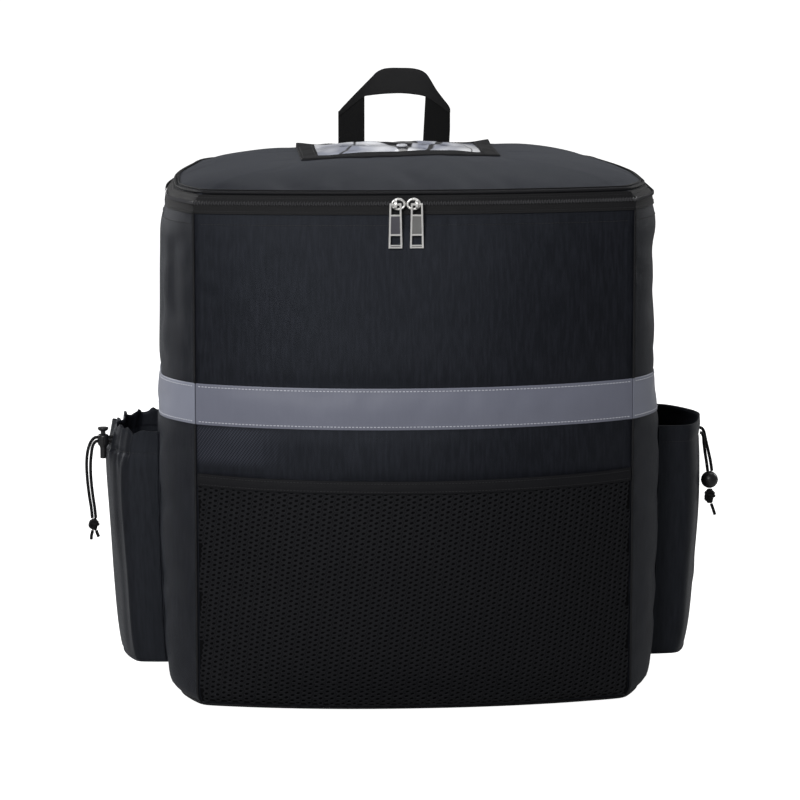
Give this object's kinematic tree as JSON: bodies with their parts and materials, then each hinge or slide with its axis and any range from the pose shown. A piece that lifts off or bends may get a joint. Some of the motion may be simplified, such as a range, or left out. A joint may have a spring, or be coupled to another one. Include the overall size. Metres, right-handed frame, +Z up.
{
  "type": "insulated delivery backpack",
  "caption": "Soft upright insulated delivery backpack with domed zip lid, grey band, mesh front pocket, drawcord side pockets and carry handle.",
  "frame": {"origin": "centre of the base under the bag's bounding box", "axes": "+Z up, -Y the front with the mesh pocket, +X the right side seen from the front"},
  "size_m": [0.5898, 0.3756, 0.554],
  "materials": {
    "body_fabric": "woven polyester, slight sheen",
    "lid_fabric": "woven polyester, slight sheen",
    "piping": "corded cloth edge",
    "reflective_strip": "grey coated tape",
    "mesh": "knitted mesh",
    "webbing": "woven webbing",
    "window_frame": "black cloth edge",
    "window_film": "clear soft film",
    "zip_tape": "woven tape",
    "zip_coil": "nylon coil",
    "zip_metal": "plated die casting",
    "stud": "pale grey",
    "cord": "braided cord",
    "black_plastic": "moulded"
  },
  "bodies": {
    "bag": {"bag_body": "body_fabric", "lid": "lid_fabric", "lid_piping": "piping", "base_piping": "piping", "seam_piping_left": "piping", "seam_piping_right": "piping", "reflective_band_front": "reflective_strip", "reflective_band_right": "reflective_strip", "reflective_band_left": "reflective_strip", "zip_tape": "zip_tape", "zip_coil": "zip_coil", "mesh_pocket": "mesh", "mesh_pocket_hem": "webbing", "side_pocket_left": "body_fabric", "side_pocket_right": "body_fabric", "carry_handle": "webbing", "id_window_frame": "window_frame", "id_window_film": "window_film", "id_window_stud": "stud", "zip_slider_left": "zip_metal", "zip_slider_right": "zip_metal", "drawcord_left_inner_1": "cord", "drawcord_left_inner_2": "cord", "drawcord_left_1": "cord", "drawcord_left_2": "cord", "cord_tail_left_1": "cord", "cord_tail_left_2": "cord", "drawcord_right_1": "cord", "drawcord_right_2": "cord", "cord_tail_right": "cord", "cord_knot_left": "cord", "cord_knot_right": "cord", "cord_bead": "black_plastic", "cord_lock_barrel": "black_plastic", "shoulder_strap_right": "body_fabric", "strap_webbing_right": "webbing", "strap_buckle_right": "black_plastic", "shoulder_strap_left": "body_fabric", "strap_webbing_left": "webbing", "strap_buckle_left": "black_plastic"},
    "pull_left": {"zip_pull_left": "zip_metal"},
    "pull_right": {"zip_pull_right": "zip_metal"},
    "lock_plunger": {"cord_lock_plunger": "black_plastic"}
  },
  "joints": [
    {"name": "pull_left_swing", "type": "hinge", "parent": "bag", "child": "pull_left", "pos_m": [-0.01891, -0.16373, 0.46], "axis": [-1, 0, 0], "range_deg": [0, 165]},
    {"name": "pull_right_swing", "type": "hinge", "parent": "bag", "child": "pull_right", "pos_m": [-0.00001, -0.16373, 0.46], "axis": [-1, 0, 0], "range_deg": [0, 165]},
    {"name": "cord_lock_press", "type": "slide", "parent": "bag", "child": "lock_plunger", "axis": [0, 0, -1], "range_m": [0, 0.003], "stiffness_N_per_m": 200, "springref_m": -0.003}
  ]
}
